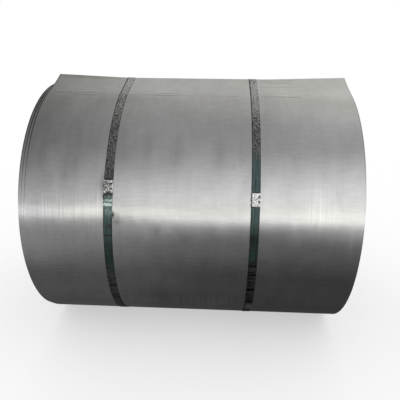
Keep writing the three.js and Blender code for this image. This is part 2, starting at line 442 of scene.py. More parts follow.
def wind_strip():
    middle = (STRIP_LEFT + STRIP_RIGHT) / 2
    piece = edge_across("wound_strip_laps", STRIP_WIDTH, on_coil(TAIL_ANGLE, OUTER_RADIUS, middle))
    inwards = outward(TAIL_ANGLE) * -STRIP_PITCH
    add_modifier(
        piece,
        "ARRAY",
        count=LAPS,
        use_relative_offset=False,
        use_constant_offset=True,
        constant_offset_displace=inwards,
    )
    start_edit_of_all(piece, "EDGE")
    bend_round(FIRST_CENTRE, math.pi, STEPS_PER_TURN // 2)
    bend_round(SECOND_CENTRE, math.pi, STEPS_PER_TURN // 2)
    end_edit()
    weld_and_face(piece)
    return piece


def cut_free_end(piece):
    """Cuts the free end along both straps, so that it can bend there."""
    start_edit(piece)
    spring_laps = TAIL_SPRING / FULL_TURN
    for along in (FLAT_FROM, FLAT_TO):
        cut_faces(lambda face: lap_at(face) < spring_laps, (along, 0, 0), (1, 0, 0))
    end_edit()


def settle_laps(piece):
    """Drifts the laps sideways and lets the free end spring off."""

    def place_for(point):
        lap = lap_at(point)
        point.x += sideways(lap)
        return point + off_axis(point) * spring(lap, point.x)

    move_points(piece, place_for)


def make_strip():
    piece = wind_strip()
    cut_free_end(piece)
    map_flat(piece, STRIP_LEFT, lap_at)
    settle_laps(piece)
    piece.data.materials.append(rolled_steel())
    piece.data.materials.append(slit_edge())
    make_plate(piece, STRIP_GAUGE, -1, bevel=0.45 * MM, degrees=60, rim_finish=1)
    smooth_by_angle(piece, 28)
    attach(piece, "root")
    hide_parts("wound_strip")


# ---- straps ----


class Rest:
    """A round thing that a tight strap bends over: its centre, and its radius with clearance."""

    def __init__(self, centre, radius):
        self.centre = centre
        self.radius = radius

    def raised(self, height):
        return Rest(self.centre, self.radius + height)

    def touch(self, angle):
        return self.centre + outward(angle) * self.radius


def leaving_angle(near, far, after):
    """The outward angle of the strap on its way from one rest to the next, past a given angle."""
    between = far.centre - near.centre
    heading = math.atan2(between.z, between.y)
    shrink = (near.radius - far.radius) / between.length
    angle = heading - math.acos(max(-1.0, min(1.0, shrink)))
    while angle < after - FULL_TURN / 4:
        angle += FULL_TURN
    return angle


def strap_path(seal_angle):
    """A strap's covered end, its angle there, and its rests, once round and over that end."""
    seal_middle = on_coil(seal_angle, SEAL_SEAT)
    half = onward(seal_angle) * (SEAL_LENGTH / 2)
    upper_lip = Rest(seal_middle - half, CLEARANCE)
    lower_lip = Rest(seal_middle + half, CLEARANCE)
    front = Rest(FIRST_CENTRE, FIRST_RADIUS + CLEARANCE)
    back = Rest(SECOND_CENTRE, SECOND_RADIUS + CLEARANCE)
    tip = on_coil(TAIL_ANGLE, OUTER_RADIUS / math.cos(TAIL_SPRING) - TIP_ROUND)
    free_end = Rest(tip, TIP_ROUND + CLEARANCE)
    covered = leaving_angle(upper_lip, lower_lip, seal_angle)
    start = upper_lip.touch(covered) - onward(covered) * HIDDEN_END
    over = STRAP_GAUGE + CLEARANCE
    corner = Rest(start - outward(covered) * CLEARANCE, CLEARANCE + over)
    once = [upper_lip, lower_lip, front, back, free_end, front]
    again = [corner] + [rest.raised(over) for rest in (upper_lip, lower_lip, front)]
    return start, covered, once + again


def lay_strap(piece, seal_angle, end_angle):
    start, angle, rests = strap_path(seal_angle)
    start_edit_of_all(piece, "EDGE")
    here = start
    for index, rest in enumerate(rests):
        arrive = rest.touch(angle)
        if (arrive - here).length > TOUCH:
            carry_straight(arrive - here)
        last = index + 1 == len(rests)
        leave = end_angle + FULL_TURN if last else leaving_angle(rest, rests[index + 1], angle)
        steps = max(2, round((leave - angle) / FULL_TURN * STEPS_PER_TURN))
        if leave - angle > LEAST_BEND:
            bend_round(rest.centre, leave - angle, steps)
        angle = leave
        here = rest.touch(angle)
    end_edit()


def lean_over(piece, lean):
    """Leans a piece along X with height, as a strap that isn't quite square to the coil."""
    move_points(piece, lambda point: point + Vector((lean * (point.z - AXIS_HEIGHT), 0, 0)))


def bite_strap(piece, along, seal_angle):
    """Cuts the crimping tool's V bites into the strap's left edge under its seal."""
    middle = on_coil(seal_angle, OUTER_RADIUS)
    down = onward(seal_angle)

    def under_seal(face):
        this_side_of_axis = (face - middle).dot(outward(seal_angle)) > -OUTER_RADIUS
        return this_side_of_axis and abs((face - middle).dot(down)) < SEAL_LENGTH / 2

    start_edit(piece)
    for bite in (-BITE_SPACING / 2, BITE_SPACING / 2):
        for offset in (-BITE_WIDTH / 2, 0, BITE_WIDTH / 2):
            cut_faces(under_seal, middle + down * (bite + offset), down)
    end_edit()

    def place_for(point):
        below = abs((point - middle).dot(down))
        near = (point - middle).length < SEAL_LENGTH
        if near and point.x < along and abs(below - BITE_SPACING / 2) < TOUCH:
            point.x += BITE_DEPTH
        return point

    move_points(piece, place_for)


def is_outer_layer(point):
    """Whether a point lies on the strap's second time round, over its covered end."""
    reach = math.hypot(point.y, point.z - AXIS_HEIGHT)
    return reach > OUTER_RADIUS + CLEARANCE + 0.6 * STRAP_GAUGE


def kink_at(below, kinks):
    """How a strap stands off between two kinks: left edge, middle, right edge, and its bulge."""
    near = max(kink for kink in kinks if kink[0] <= below + SLACK)
    far = min(kink for kink in kinks if kink[0] >= below - SLACK)
    share = (below - near[0]) / max(1 * MM, far[0] - near[0])
    return [a + share * (b - a) for a, b in zip(near[1:], far[1:])]


def kink_strap(piece, strap):
    """Kinks the strap's outer layer below its seal and lifts its end."""
    first = length_to(strap.seal) + SEAL_LENGTH / 2
    free_length = length_to(strap.end) - first
    kinks = [[value * MM for value in kink] for kink in strap.kinks]
    cuts = [strap.seal + (SEAL_LENGTH / 2 + kink[0]) / OUTER_RADIUS for kink in kinks]
    cuts += [strap.end - share * END_LIFTS_OVER / OUTER_RADIUS for share in END_CUTS]
    kinks = [[0, 0, 0, 0, 0]] + kinks + [[free_length, 0, 0, 0, 0]]

    def is_free(face):
        return is_outer_layer(face) and 0 < turn_at(face) * LAP_LENGTH - first < free_length

    start_edit(piece)
    cut_faces(is_free, (strap.along, 0, 0), (1, 0, 0))
    for angle in cuts:
        cut_faces(is_free, on_coil(angle, 0), onward(angle))
    end_edit()

    def place_for(point):
        below = turn_at(point) * LAP_LENGTH - first
        if not is_outer_layer(point) or not 0 < below < free_length + SLACK:
            return point
        left, middle, right, bulge = kink_at(below, kinks)
        across = (point.x - strap.along) / (STRAP_WIDTH / 2)
        lift = middle + abs(across) * ((left if across < 0 else right) - middle)
        lift += END_LIFT * max(0.0, 1 - (free_length - below) / END_LIFTS_OVER) ** 2
        if across < -EDGE_FROM:
            point.x -= bulge
        return point + off_axis(point) * lift

    move_points(piece, place_for)


def make_strap(strap):
    start = strap_path(strap.seal)[0]
    start.x = strap.along
    piece = edge_across("strap_" + strap.side + "_band", STRAP_WIDTH, start)
    lay_strap(piece, strap.seal, strap.end)
    weld_and_face(piece)
    map_flat(piece, strap.along - STRAP_WIDTH / 2, turn_at)
    bite_strap(piece, strap.along, strap.seal)
    kink_strap(piece, strap)
    lean_over(piece, strap.lean)
    make_plate(piece, STRAP_GAUGE, 1, bevel=0.2 * MM, degrees=60)
    smooth_by_angle(piece, 30)
    piece.data.materials.append(strap_paint(strap))
    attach(piece, "root")
    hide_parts("strap_" + strap.side)


# ---- seals ----

# How the crimping tool left a seal's plate, in millimetres.
DOMED = 0.5  # how far it bulges between its ends
DOME_AT_FOLD = 0.4  # how much of that bulge is left at a fold
FOLD_REACH = 2.6
PUNCHED = ((12.6, 10.6), (12.4, -6.6))  # slots the tool opened: right and up from the middle
PUNCHED_REACH = 2.95
SLOT_LIP = 0.9  # the raised ring round a slot, how far out it lies, and its reach
SLOT_LIP_OUT = 3.9
SLOT_LIP_REACH = 1.8
BITTEN_FROM = 0.6  # how far out the bites start, where the plate's edge is 1
BITE_SINKS = 0.8
SIDE_BULGE = 1.3  # between the bites: how far outwards, its height on the side, and its reach
SIDE_BULGE_UP = 1.0
SIDE_BULGE_REACH = 6.0


def in_slot(point, slot):
    right, up = slot
    return max(abs(point.x - right * MM), abs(point.y - up * MM)) < PUNCHED_REACH * MM


def seal_plate(name, half_width):
    """The seal's top, lying flat: X along the coil's axis, Y up the coil."""
    bpy.ops.mesh.primitive_grid_add(x_subdivisions=SEAL_COLUMNS, y_subdivisions=SEAL_ROWS, size=2)
    piece = bpy.context.active_object
    piece.name = name
    piece.data.name = name
    start_edit_of_all(piece)
    bpy.ops.transform.resize(value=(half_width, SEAL_LENGTH / 2, 1))
    select_where("FACE", lambda face: any(in_slot(face, slot) for slot in PUNCHED))
    bpy.ops.mesh.delete(type="FACE")
    end_edit()
    return piece


def fold_round_straps(piece, half_width, depth):
    """Folds the plate's sides down and in under the straps."""
    start_edit(piece)
    for side in (-1, 1):
        select_where("EDGE", lambda edge: edge.x * side > half_width - SLACK)
        carry_straight((0, 0, -depth))
        carry_straight((-side * SEAL_LIP, 0, 0))
    end_edit()


def buckled(right, up, across, folds):
    """How far a point of the crimped plate stands proud, in millimetres."""
    height = DOMED * (1 - across**2) * (1 - (up * MM / (SEAL_LENGTH / 2)) ** 2)
    for from_right, from_up, to_right, to_up, ridge in folds:
        start = Vector((from_right, from_up))
        along = Vector((to_right, to_up)) - start
        point = Vector((right, up)) - start
        share = min(1.0, max(0.0, point.dot(along) / along.dot(along)))
        apart = (point - along * share).length
        height = max(height, height * DOME_AT_FOLD + ridge * (1 - apart / FOLD_REACH))
    for middle_right, middle_up in PUNCHED:
        apart = Vector((right - middle_right, up - middle_up)).length
        height += SLOT_LIP * max(0.0, 1 - abs(apart - SLOT_LIP_OUT) / SLOT_LIP_REACH)
    return height


def crimp(piece, folds, half_width):
    """Presses bites into the seal's left side, and buckles its plate."""

    def place_for(point):
        across = point.x / half_width
        up = point.y / MM
        if point.z > -SLACK:
            point.z += buckled(point.x / MM, up, across, folds) * MM
        outer = max(0.0, (-across - BITTEN_FROM) / (1 - BITTEN_FROM))
        from_bite = abs(abs(point.y) - BITE_SPACING / 2)
        bite = outer * max(0.0, 1 - from_bite / (BITE_WIDTH / 2))
        bulge = outer * max(0.0, 1 - abs(up - SIDE_BULGE_UP) / SIDE_BULGE_REACH)
        point.x += BITE_DEPTH * bite - SIDE_BULGE * MM * bulge
        point.z -= BITE_SINKS * MM * bite
        return point

    move_points(piece, place_for)


def make_seal(strap):
    half_width = STRAP_WIDTH / 2 + CLEARANCE
    height = 2 * STRAP_GAUGE + 3 * CLEARANCE
    piece = seal_plate("seal_" + strap.side + "_sleeve", half_width)
    fold_round_straps(piece, half_width, height)
    crimp(piece, strap.folds, half_width)
    start_edit_of_all(piece)
    bpy.ops.mesh.remove_doubles(threshold=WELD)
    end_edit()
    make_plate(piece, SEAL_GAUGE, 1, bevel=0.25 * MM, degrees=50, segments=2)
    seat = on_coil(strap.seal, SEAL_SEAT + height, strap.along)
    up = -onward(strap.seal)
    turn = Matrix((Vector((1, 0, 0)), up, outward(strap.seal))).transposed()
    piece.data.transform(Matrix.Translation(seat) @ turn.to_4x4())
    lean_over(piece, strap.lean)
    smooth_by_angle(piece, 20)
    piece.data.materials.append(zinc_plate(strap))
    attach(piece, "root")
    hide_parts("seal_" + strap.side)


# ---- finishes ----

EVEN = (1, 1, 1)  # clouds that aren't drawn out


def as_node(operation):
    """An operator between wires and numbers, as a node."""
    return lambda first, second: first.finish.sum(operation, first, second)


class Wire:
    """One output of a node, with the sums that finishes are written in."""

    __add__ = __radd__ = as_node("ADD")
    __mul__ = __rmul__ = as_node("MULTIPLY")
    __sub__ = as_node("SUBTRACT")
    __truediv__ = as_node("DIVIDE")
    __pow__ = as_node("POWER")

    def __init__(self, finish, socket):
        self.finish = finish
        self.socket = socket

    def __rsub__(self, other):
        return self.finish.sum("SUBTRACT", other, self)

    def beside(self, name):
        """Another output of the same node."""
        return Wire(self.finish, self.socket.node.outputs[name])

    def between(self, low, high):
        """0 at low, 1 at high, straight in between and held there."""
        inputs = {"Value": self, "From Min": low, "From Max": high}
        return self.finish.make("MapRange", inputs, {"clamp": True})

    def near(self, middle, reach):
        """1 at a value, falling to 0 at a reach from it."""
        return self.finish.sum("ABSOLUTE", self - middle).between(reach, 0.0)


class Finish:
    """A material or world as a tree of nodes."""

    def __init__(self, owner):
        self.owner = owner
        owner.use_nodes = True
        self.tree = owner.node_tree
        self.tree.nodes.clear()

    def make(self, kind, inputs=None, settings=None, output=0):
        """Adds a shader node with its sockets' values or wires. Its settings are set first."""
        node = self.tree.nodes.new("ShaderNode" + kind)
        for name, value in (settings or {}).items():
            setattr(node, name, value)
        sockets = {socket.identifier: socket for socket in node.inputs}
        for name, value in (inputs or {}).items():
            if isinstance(value, Wire):
                self.tree.links.new(value.socket, sockets[name])
            else:
                sockets[name].default_value = value
        return Wire(self, node.outputs[output]) if node.outputs else None

    def sum(self, operation, first, second=0.0):
        inputs = {"Value": first, "Value_001": second}
        return self.make("Math", inputs, {"operation": operation})

    def place(self):
        """The point on the piece, in metres in the shared frame."""
        return self.make("TexCoord", output="Object")

    def on_map(self):
        """The point on a band as it lies flat, in metres: across it, and along it."""
        return self.make("UVMap", settings={"uv_map": "flat"})

    def parts(self, place):
        """A place's X, Y and Z."""
        first = self.make("SeparateXYZ", {"Vector": place})
        return first, first.beside("Y"), first.beside("Z")

    def height(self):
        """The height above the floor."""
        return self.parts(self.place())[2]

    def clouds(self, place, stretch, scale, detail=3.0, roughness=0.6, distortion=0.0):
        """Soft noise, drawn out along an axis where its stretch is less than 1."""
        inputs = {
            "Vector": self.make("Mapping", {"Vector": place, "Scale": stretch}),
            "Scale": scale,
            "Detail": detail,
            "Roughness": roughness,
            "Distortion": distortion,
        }
        return self.make("TexNoise", inputs)

    def blend(self, share, first, second):
        """One colour where share is 0 and another where it is 1."""
        settings = {"data_type": "RGBA", "clamp_factor": True}
        inputs = {"Factor_Float": share, "A_Color": first, "B_Color": second}
        return self.make("Mix", inputs, settings, output=2)

    def bump(self, height, distance):
        inputs = {"Height": height, "Distance": distance, "Strength": 1.0}
        return self.make("Bump", inputs)

    def material(self, shader):
        """The finished material, with this for its surface."""
        self.make("OutputMaterial", {"Surface": shader})
        return self.owner

    def surface(self, **inputs):
        named = {name.replace("_", " "): value for name, value in inputs.items()}
        return self.material(self.make("BsdfPrincipled", named))


def new_finish(name):
    return Finish(bpy.data.materials.new(name))


def grey(level):
    return (level, level, level, 1)


def bands(along, rows):
    """The sum of soft bands: the middle of each, its reach either way and its strength."""
    return sum(strength * along.near(middle, reach) for middle, reach, strength in rows)


def patches(across, along, rows):
    """The sum of soft patches: where each lies both ways, its reaches, and its strength."""
    return sum(
        strength * across.near(right, wide) * along.near(middle, long)
        for right, middle, wide, long, strength in rows
    )


# ---- the strip's finish ----

# Where handling has drawn bright lines along the strip: the patch's middle across it and round
# the coil from the free end, its reach either way and how strong the lines are. The patches
# round 0.66 to 0.7 from the free end lie in the highlight band, where the lines are painted
# glints.
SCRATCHED_AND_GLINTING = (
    (0.0, 0.7, 0.02, 0.06, 1.3),
    (0.11, 0.695, 0.16, 0.07, 1.25),
    (0.26, 0.68, 0.09, 0.14, 0.7),
    (1.06, 0.66, 0.08, 0.14, 1.0),
    (1.19, 0.8, 0.03, 0.07, 1.6),
    (0.62, 1.13, 0.6, 0.06, 2.0),
)
SCRATCHED_ALL_OVER = 0.06

# Soft smears: how far across and along from the free end, their reach either way and strength.
# Those below zero are polished instead. Two rows by the left strap and its seal are painted
# shadow, and one beside it is a painted highlight.
SMEARS_AND_PAINTED_LIGHT = (
    (0.35, 0.48, 0.06, 0.12, 0.22),
    (0.441, 0.45, 0.03, 0.085, 0.2),
    (0.548, 0.465, 0.032, 0.105, 0.27),
    (0.703, 0.475, 0.032, 0.105, 0.27),
    (0.485, 0.765, 0.018, 0.04, 0.4),
    (0.59, 0.79, 0.03, 0.03, 0.35),
    # painted shadow beside the left strap
    (0.335, 0.72, 0.02, 0.03, 1.2),
    # painted shadow beside the left strap's seal
    (0.285, 0.6, 0.035, 0.07, 0.75),
    (0.1, 0.0, 0.22, 0.035, 0.7),
    (0.77, 0.05, 0.09, 0.06, -0.3),
    # painted highlight beside the left strap, in the highlight band
    (0.235, 0.69, 0.07, 0.035, -0.35),
    (0.6, 0.49, 0.08, 0.12, -0.22),
    (0.76, 0.54, 0.06, 0.14, -0.2),
    (0.55, 0.2, 0.07, 0.06, -0.25),
)

# Creases that run across the strip: from the free end, the part of the width they span, and
# how strong they are.
CREASES = (
    (0.15, 0.04, 0.2, 1.0),
    (0.17, 0.12, 0.2, 0.8),
    (0.165, 0.26, 0.62, 0.4),
    (0.15, 0.45, 0.53, 0.8),
    (0.17, 0.45, 0.53, 0.6),
    (0.166, 0.67, 0.76, 0.4),
    (0.166, 0.87, 1.0, 0.9),
    (0.012, 0.88, 0.99, 0.8),
    (0.03, 0.9, 0.98, 0.8),
    (0.073, 0.88, 1.0, 0.5),
)
CREASE_REACH = 7 * MM
CREASE_SHADE = 8 * MM  # how far on the painted shade line beside it lies, and that line's reach
CREASE_FADES = 20 * MM  # at its ends

# Painted shadow, with some dirt, beside the left strap and its seal, in rows like those of the
# smears.
SMUDGES_AND_SHADOWS = ((0.325, 0.706, 8 * MM, 18 * MM, 1.1), (0.289, 0.6, 11 * MM, 50 * MM, 0.35))


def scratches_and_glints(finish, sheet):
    """Bright lines along the strip, painted as glints where they lie in the highlight band."""
    across, along, _ = finish.parts(sheet)
    around = finish.sum("FLOORED_MODULO", along, LAP_LENGTH)
    lines = finish.clouds(sheet, (1, 0.01, 1), 150.0, 4.0, 0.7)
    scratch_and_glint_patches = patches(across, around, SCRATCHED_AND_GLINTING) + SCRATCHED_ALL_OVER
    return scratch_and_glint_patches * lines.between(0.4, 0.75)


def pressed_creases(across, along, film):
    """Creases across the strip, and a line of painted shade beside each."""
    creases = 0.0
    shaded = 0.0
    for place, first, last, strength in CREASES:
        span = strength * across.between(first - CREASE_FADES, first)
        span *= across.between(last + CREASE_FADES, last)
        creases += along.near(place, CREASE_REACH) * span
        shaded += along.near(place + CREASE_SHADE, CREASE_SHADE) * span
    return creases * film.between(0.3, 0.55), shaded * film.between(0.3, 0.5)


def edge_grime_and_shade(finish, across, along):
    """Painted shade with dirt at the laps' stepped edges, thickest on top, under the free end, by
    a strap.
    """
    height = finish.height()
    upper = height.between(0.6, 0.84)
    left = 0.9 * across.between(5 * MM, 2.5 * MM) * upper
    right = 0.3 * across.between(STRIP_WIDTH - 5 * MM, STRIP_WIDTH - 2 * MM) * upper
    second_lap = along.between(LAP_LENGTH - 1 * MM, LAP_LENGTH)
    shade_under_free_end = across.between(15 * MM, 11 * MM) * second_lap * height.between(0.88, 0.98)
    return left + right + 0.5 * shade_under_free_end + patches(across, along, SMUDGES_AND_SHADOWS)


def steel_colour(finish, shade, across, along, film):
    """From dark to light steel, yellow near the free end, and warm as painted highlight in a band.
    """
    tint_and_warm_highlight = (along + 0.12 * film).between(0.4, 0.3)
    # A warm tint painted where the highlight band falls, clear of the left edge.
    tint_and_warm_highlight += 0.8 * along.near(0.69, 0.06) * across.between(0.06, 0.14)
    dark = finish.blend(tint_and_warm_highlight, grey(0.4), (0.41, 0.405, 0.38, 1))
    light = finish.blend(tint_and_warm_highlight, grey(0.7), (0.71, 0.705, 0.665, 1))
    return finish.blend(shade, dark, light)


def rolled_steel():
    """Bare strip: roll marks, smoky film, gentle waves, scratch lines with painted glints, and
    creases.
    """
    finish = new_finish("rolled_steel")
    sheet = finish.on_map()
    across, along, _ = finish.parts(sheet)
    marks = finish.clouds(sheet, (1, 0.02, 1), 420.0)
    streaks = finish.clouds(sheet, (1, 0.05, 1), 70.0)
    film = finish.clouds(sheet, (1, 0.5, 1), 13.0, 5.0, 0.6, 0.7)
    waves = finish.clouds(sheet, (1, 0.35, 1), 9.0, 2.0, 0.4)
    chatter = finish.clouds(sheet, (0.13, 1, 1), 120.0)
    scratch_glints = scratches_and_glints(finish, sheet)
    creases, shaded = pressed_creases(across, along, film)
    # Dirt with painted shade at the laps' stepped edges, painted shade under the free end, and
    # painted shadow by the left strap.
    grime_and_shade = edge_grime_and_shade(finish, across, along)

    shade = 0.5 + 0.6 * (film - 0.5) + 0.09 * (streaks - 0.5) + 0.1 * (marks - 0.5)
    shade += (0.4 + 0.4 * along.between(0.8, 0.92)) * (chatter - 0.5)
    # Painted glints, smears with painted shadow and a painted highlight, and painted shade beside
    # the creases.
    shade += 0.9 * scratch_glints - patches(across, along, SMEARS_AND_PAINTED_LIGHT) - 0.5 * shaded
    clean = steel_colour(finish, shade, across, along, film)
    height = 2.3 * waves + 0.012 * marks + 0.12 * scratch_glints + 0.5 * creases
    return finish.surface(
        Base_Color=finish.blend(grime_and_shade, clean, grey(0.012)),
        Metallic=1.0,
        Roughness=0.12 + 0.11 * film + 0.25 * grime_and_shade,
        Normal=finish.bump(height, 1 * MM),
    )


def slit_edge():
    """The sheared edges of the laps, each a little brighter or darker than the next."""
    finish = new_finish("slit_edge")
    laps = finish.clouds(finish.on_map(), (0, 1, 1), 1.7)
    grain = finish.clouds(finish.place(), EVEN, 240.0, 4.0, 0.65)
    shade = 0.6 * laps + 0.5 * grain
    return finish.surface(
        Base_Color=finish.blend(shade, (0.22, 0.215, 0.21, 1), (0.62, 0.61, 0.59, 1)),
        Metallic=1.0,
        Roughness=0.3 + 0.25 * grain,
        Normal=finish.bump(grain, 0.15 * MM),
    )


# ---- the straps' finish ----

PAINT_DARK = (0.002, 0.012, 0.012, 1)
PAINT_LIGHT = (0.054, 0.118, 0.110, 1)
# Green in painted shade, toward the floor.
PAINT_IN_PAINTED_SHADE = (0.001, 0.015, 0.010, 1)
SOOT_LOW = (0.082, 0.082, 0.079, 1)
SOOT_HIGH = (0.120, 0.120, 0.117, 1)
# Grey powder, and a painted sheen on the strap's top.
DUST_AND_SHEEN = (0.4, 0.4, 0.37, 1)
# Dirt, and painted shade and shadow, near black.
GRIME_AND_SHADE = (0.006, 0.007, 0.007, 1)
# Worn steel, and the painted green-white highlight under the left seal.
WORN_STEEL_AND_GLINT = (0.62, 0.74, 0.69, 1)


class StrapPaint(Finish):
    """Dark green paint, streaked, worn to steel in bands, powdery on top with a painted sheen."""

    def __init__(self, strap):
        super().__init__(bpy.data.materials.new("strap_paint_" + strap.side))
        sheet = self.on_map()
        self.strap = strap
        self.across, self.along, _ = self.parts(sheet)
        self.up = self.height()
        self.streaks = self.clouds(sheet, (1, 0.03, 1), 180.0)
        self.blotches = self.clouds(sheet, (1, 0.5, 1), 60.0, 4.0, 0.6, 0.5)
        self.speckle = self.clouds(sheet, (1, 0.7, 1), 230.0, 4.0, 0.7)
        self.spots = self.clouds(sheet, (1, 0.6, 1), 130.0, 4.0, 0.75).between(0.43, 0.56)
        self.bars = self.clouds(sheet, (0.3, 1, 1), 60.0, 4.0, 0.7).between(0.49, 0.58)
        self.motes = self.speckle.between(0.62, 0.42)
        self.black = self.bars + 0.6 * (self.motes - 0.5)
        self.tarred = self.up.between(*strap.tarred)
        self.dust_and_sheen_zone = self.up.between(*strap.dust_and_sheen_zone)

    def paint(self):
        """Green, lighter along its streaks, with a painted highlight band and painted shade low
        down.
        """
        coat = 0.75 * self.streaks.between(0.38, 0.58) + 0.3 * self.blotches.between(0.35, 0.65)
        # A painted highlight band at mid height, darker just above it.
        highlight_band = 0.2 * self.up.near(0.64, 0.04) - 0.22 * self.up.between(0.66, 0.7)
        green = self.blend(coat * (1 + highlight_band), PAINT_DARK, PAINT_LIGHT)
        # Painted shade toward the floor.
        under = self.up.between(*self.strap.shaded) * (0.5 + 0.6 * self.motes)
        return self.blend(under, green, PAINT_IN_PAINTED_SHADE)

    def dirtied(self, colour):
        """The paint hidden by dirt near the floor, and toward the top by a sooty coat, painted
        lighter higher up as sheen.
        """
        tar = self.blend(self.black, grey(self.strap.tar), grey(0.001))
        # The sooty coat is painted lighter higher up, as sheen, and darker lower down.
        soot_and_shade = self.blend(self.up.between(0.72, 0.82), SOOT_LOW, SOOT_HIGH)
        soot_and_shade = self.blend(self.spots, grey(0.010), soot_and_shade)
        colour = self.blend(self.tarred, colour, tar)
        return self.blend(self.up.between(*self.strap.sooty), colour, soot_and_shade)

    def shadow_gap(self):
        """Painted shadow in the gap behind one edge near the floor, and black bars of painted
        shade at kinks.
        """
        gap = self.across.near(self.strap.shadow_gap_edge, 8 * MM) * self.up.between(0.21, 0.15)
        return gap + bands(self.along, self.strap.shade_bars)

    def grime_and_shade(self):
        """Painted shade with dirt on the edges and by the seal, painted shadow under the end, dirt
        in bands.

        The bands break up into spots higher up and into bars lower down.
        """
        # Painted shade with some dirt along the edges, the left one darker toward the top.
        left = self.across.near(0.0, 4 * MM)
        left += self.across.between(5.5 * MM, 3.5 * MM) * self.dust_and_sheen_zone
        right = self.across.near(STRAP_WIDTH, 2.5 * MM)
        # Painted shade under and beside the seal, and a painted shadow under the lifted outer end.
        from_seal = self.sum("ABSOLUTE", self.along - length_to(self.strap.seal))
        seal_edge = SEAL_LENGTH / 2 + 1 * MM
        shade_at_seal = from_seal.between(seal_edge + self.strap.soot_and_shade, seal_edge)
        shadow_at_end = self.along.near(length_to(self.strap.end) + 2 * MM, 7 * MM)
        low = self.up.between(0.66, 0.56)
        broken = (1 - self.spots) * (1 - low) + self.bars * low
        soiled = bands(self.along, self.strap.soiled) * broken
        return left + 0.7 * right + 1.2 * (shade_at_seal + shadow_at_end) + soiled

    def worn_and_glint(self):
        """Paint worn off in ragged bands, less at the left edge; under the left seal, a painted
        highlight.
        """
        wandering = self.along + 9 * MM * (self.blotches - 0.5) + 5 * MM * (self.spots - 0.5)
        worn_and_glint = bands(wandering, self.strap.worn_and_glint)
        worn_and_glint *= 0.6 + 0.4 * self.across.between(4 * MM, 13 * MM)
        worn_and_glint *= 0.1 + 1.1 * self.blotches + 0.7 * self.spots
        return (worn_and_glint + 0.5 * (self.speckle - 0.62)).between(0.0, 0.85)


def strap_paint(strap):
    coat = StrapPaint(strap)
    # Powdery dirt on top, with a painted grey sheen where the top catches light.
    dust_and_sheen = coat.dust_and_sheen_zone * (0.1 + 0.45 * coat.spots + 0.45 * coat.speckle.between(0.44, 0.58))
    shadow_gap = coat.shadow_gap()
    worn_and_glint = coat.worn_and_glint()
    colour = coat.blend(dust_and_sheen, coat.dirtied(coat.paint()), DUST_AND_SHEEN)
    # Dirt and painted shade, and the painted shadow gap, blend toward near black.
    colour = coat.blend(0.8 * (coat.grime_and_shade() + 1.5 * shadow_gap), colour, GRIME_AND_SHADE)
    sooted = strap.sooted * (coat.black * coat.tarred).between(0.0, 1.0)
    height = 0.2 * coat.streaks + 0.5 * coat.blotches + 0.25 * coat.speckle
    return coat.surface(
        Base_Color=coat.blend(worn_and_glint, colour, WORN_STEEL_AND_GLINT),
        Metallic=(worn_and_glint + sooted + shadow_gap).between(0.0, 1.0),
        Roughness=0.22 + 0.35 * coat.speckle + 0.25 * dust_and_sheen,
        Normal=coat.bump(height, 0.5 * MM),
    )


# ---- the seals' finish ----

ZINC_DARK = (0.38, 0.38, 0.37, 1)
ZINC_LIGHT = (0.96, 0.96, 0.94, 1)
# Dirt, and painted shade on the plate's left side, its left edge and round its slots.
ZINC_DIRT_AND_SHADE = (0.03, 0.032, 0.03, 1)


def zinc_plate(strap):
    """Bright zinc on a seal, scuffed and speckled with dirt, with painted shade on its left and
    round its slots.
    """
    finish = new_finish("zinc_plate_" + strap.side)
    place = finish.place()
    across, _, upward = finish.parts(place)
    right = across - strap.along
    seal_height = on_coil(strap.seal, OUTER_RADIUS + 4 * MM).z
    down = (upward - seal_height) / onward(strap.seal).z
    spangle = finish.clouds(place, EVEN, 170.0, 2.0, 0.5)
    grain = finish.clouds(place, EVEN, 420.0)
    mottle = 0.5 * spangle + 0.5 * grain
    bright = finish.blend(mottle.between(0.38, 0.58), ZINC_DARK, ZINC_LIGHT)

    # The left side is painted darker, as shade, on top of the dirt.
    leftward = right.between(STRAP_WIDTH / 2, -STRAP_WIDTH / 2)
    dirt_and_shade = strap.dirt * (0.15 + 0.85 * mottle.between(0.53, 0.46)) * (0.7 + 0.6 * leftward)
    # Darker toward the plate's lower end.
    dirt_and_shade += 0.45 * down.between(18 * MM, 24 * MM)
    # Painted shade round the punched slots.
    slots = [(x * MM, -y * MM, 5 * MM, 5 * MM, 1.2) for x, y in PUNCHED]
    dirt_and_shade += patches(right, down, slots)
    # Painted shade along the left edge, between the bites.
    between_bites = 1 - finish.sum("ABSOLUTE", down).near(BITE_SPACING / 2, BITE_WIDTH / 2)
    left_edge = right.between(-11.5 * MM, -15 * MM) * between_bites
    return finish.surface(
        Base_Color=finish.blend(dirt_and_shade + 0.75 * left_edge, bright, ZINC_DIRT_AND_SHADE),
        Metallic=1.0,
        Roughness=0.18 + 0.25 * grain + 0.1 * dirt_and_shade,
        Normal=finish.bump(spangle + 0.5 * grain, 0.4 * MM),
    )


# ---- the studio ----

CAMERA_HEIGHT_ANGLE = math.radians(17.5)
CAMERA_DISTANCE = 2.0785  # from the axis
CAMERA_SIDE = 0.1044
CAMERA_PAN = 0.0418
CAMERA_TILT = -0.0077
CAMERA_ROLL = -0.0257
CAMERA_LENS = 39.63
CAMERA_FILM = 36.0

FLOOR_SIZE = 120.0
BACKDROP_RADIUS = 16.0  # of the cards that only the metal sees
CLOTH_HEIGHT = 1 * MM
RING_SQUASH = 0.16  # makes the cloth's rings 2.5 times as long along the coil as across it


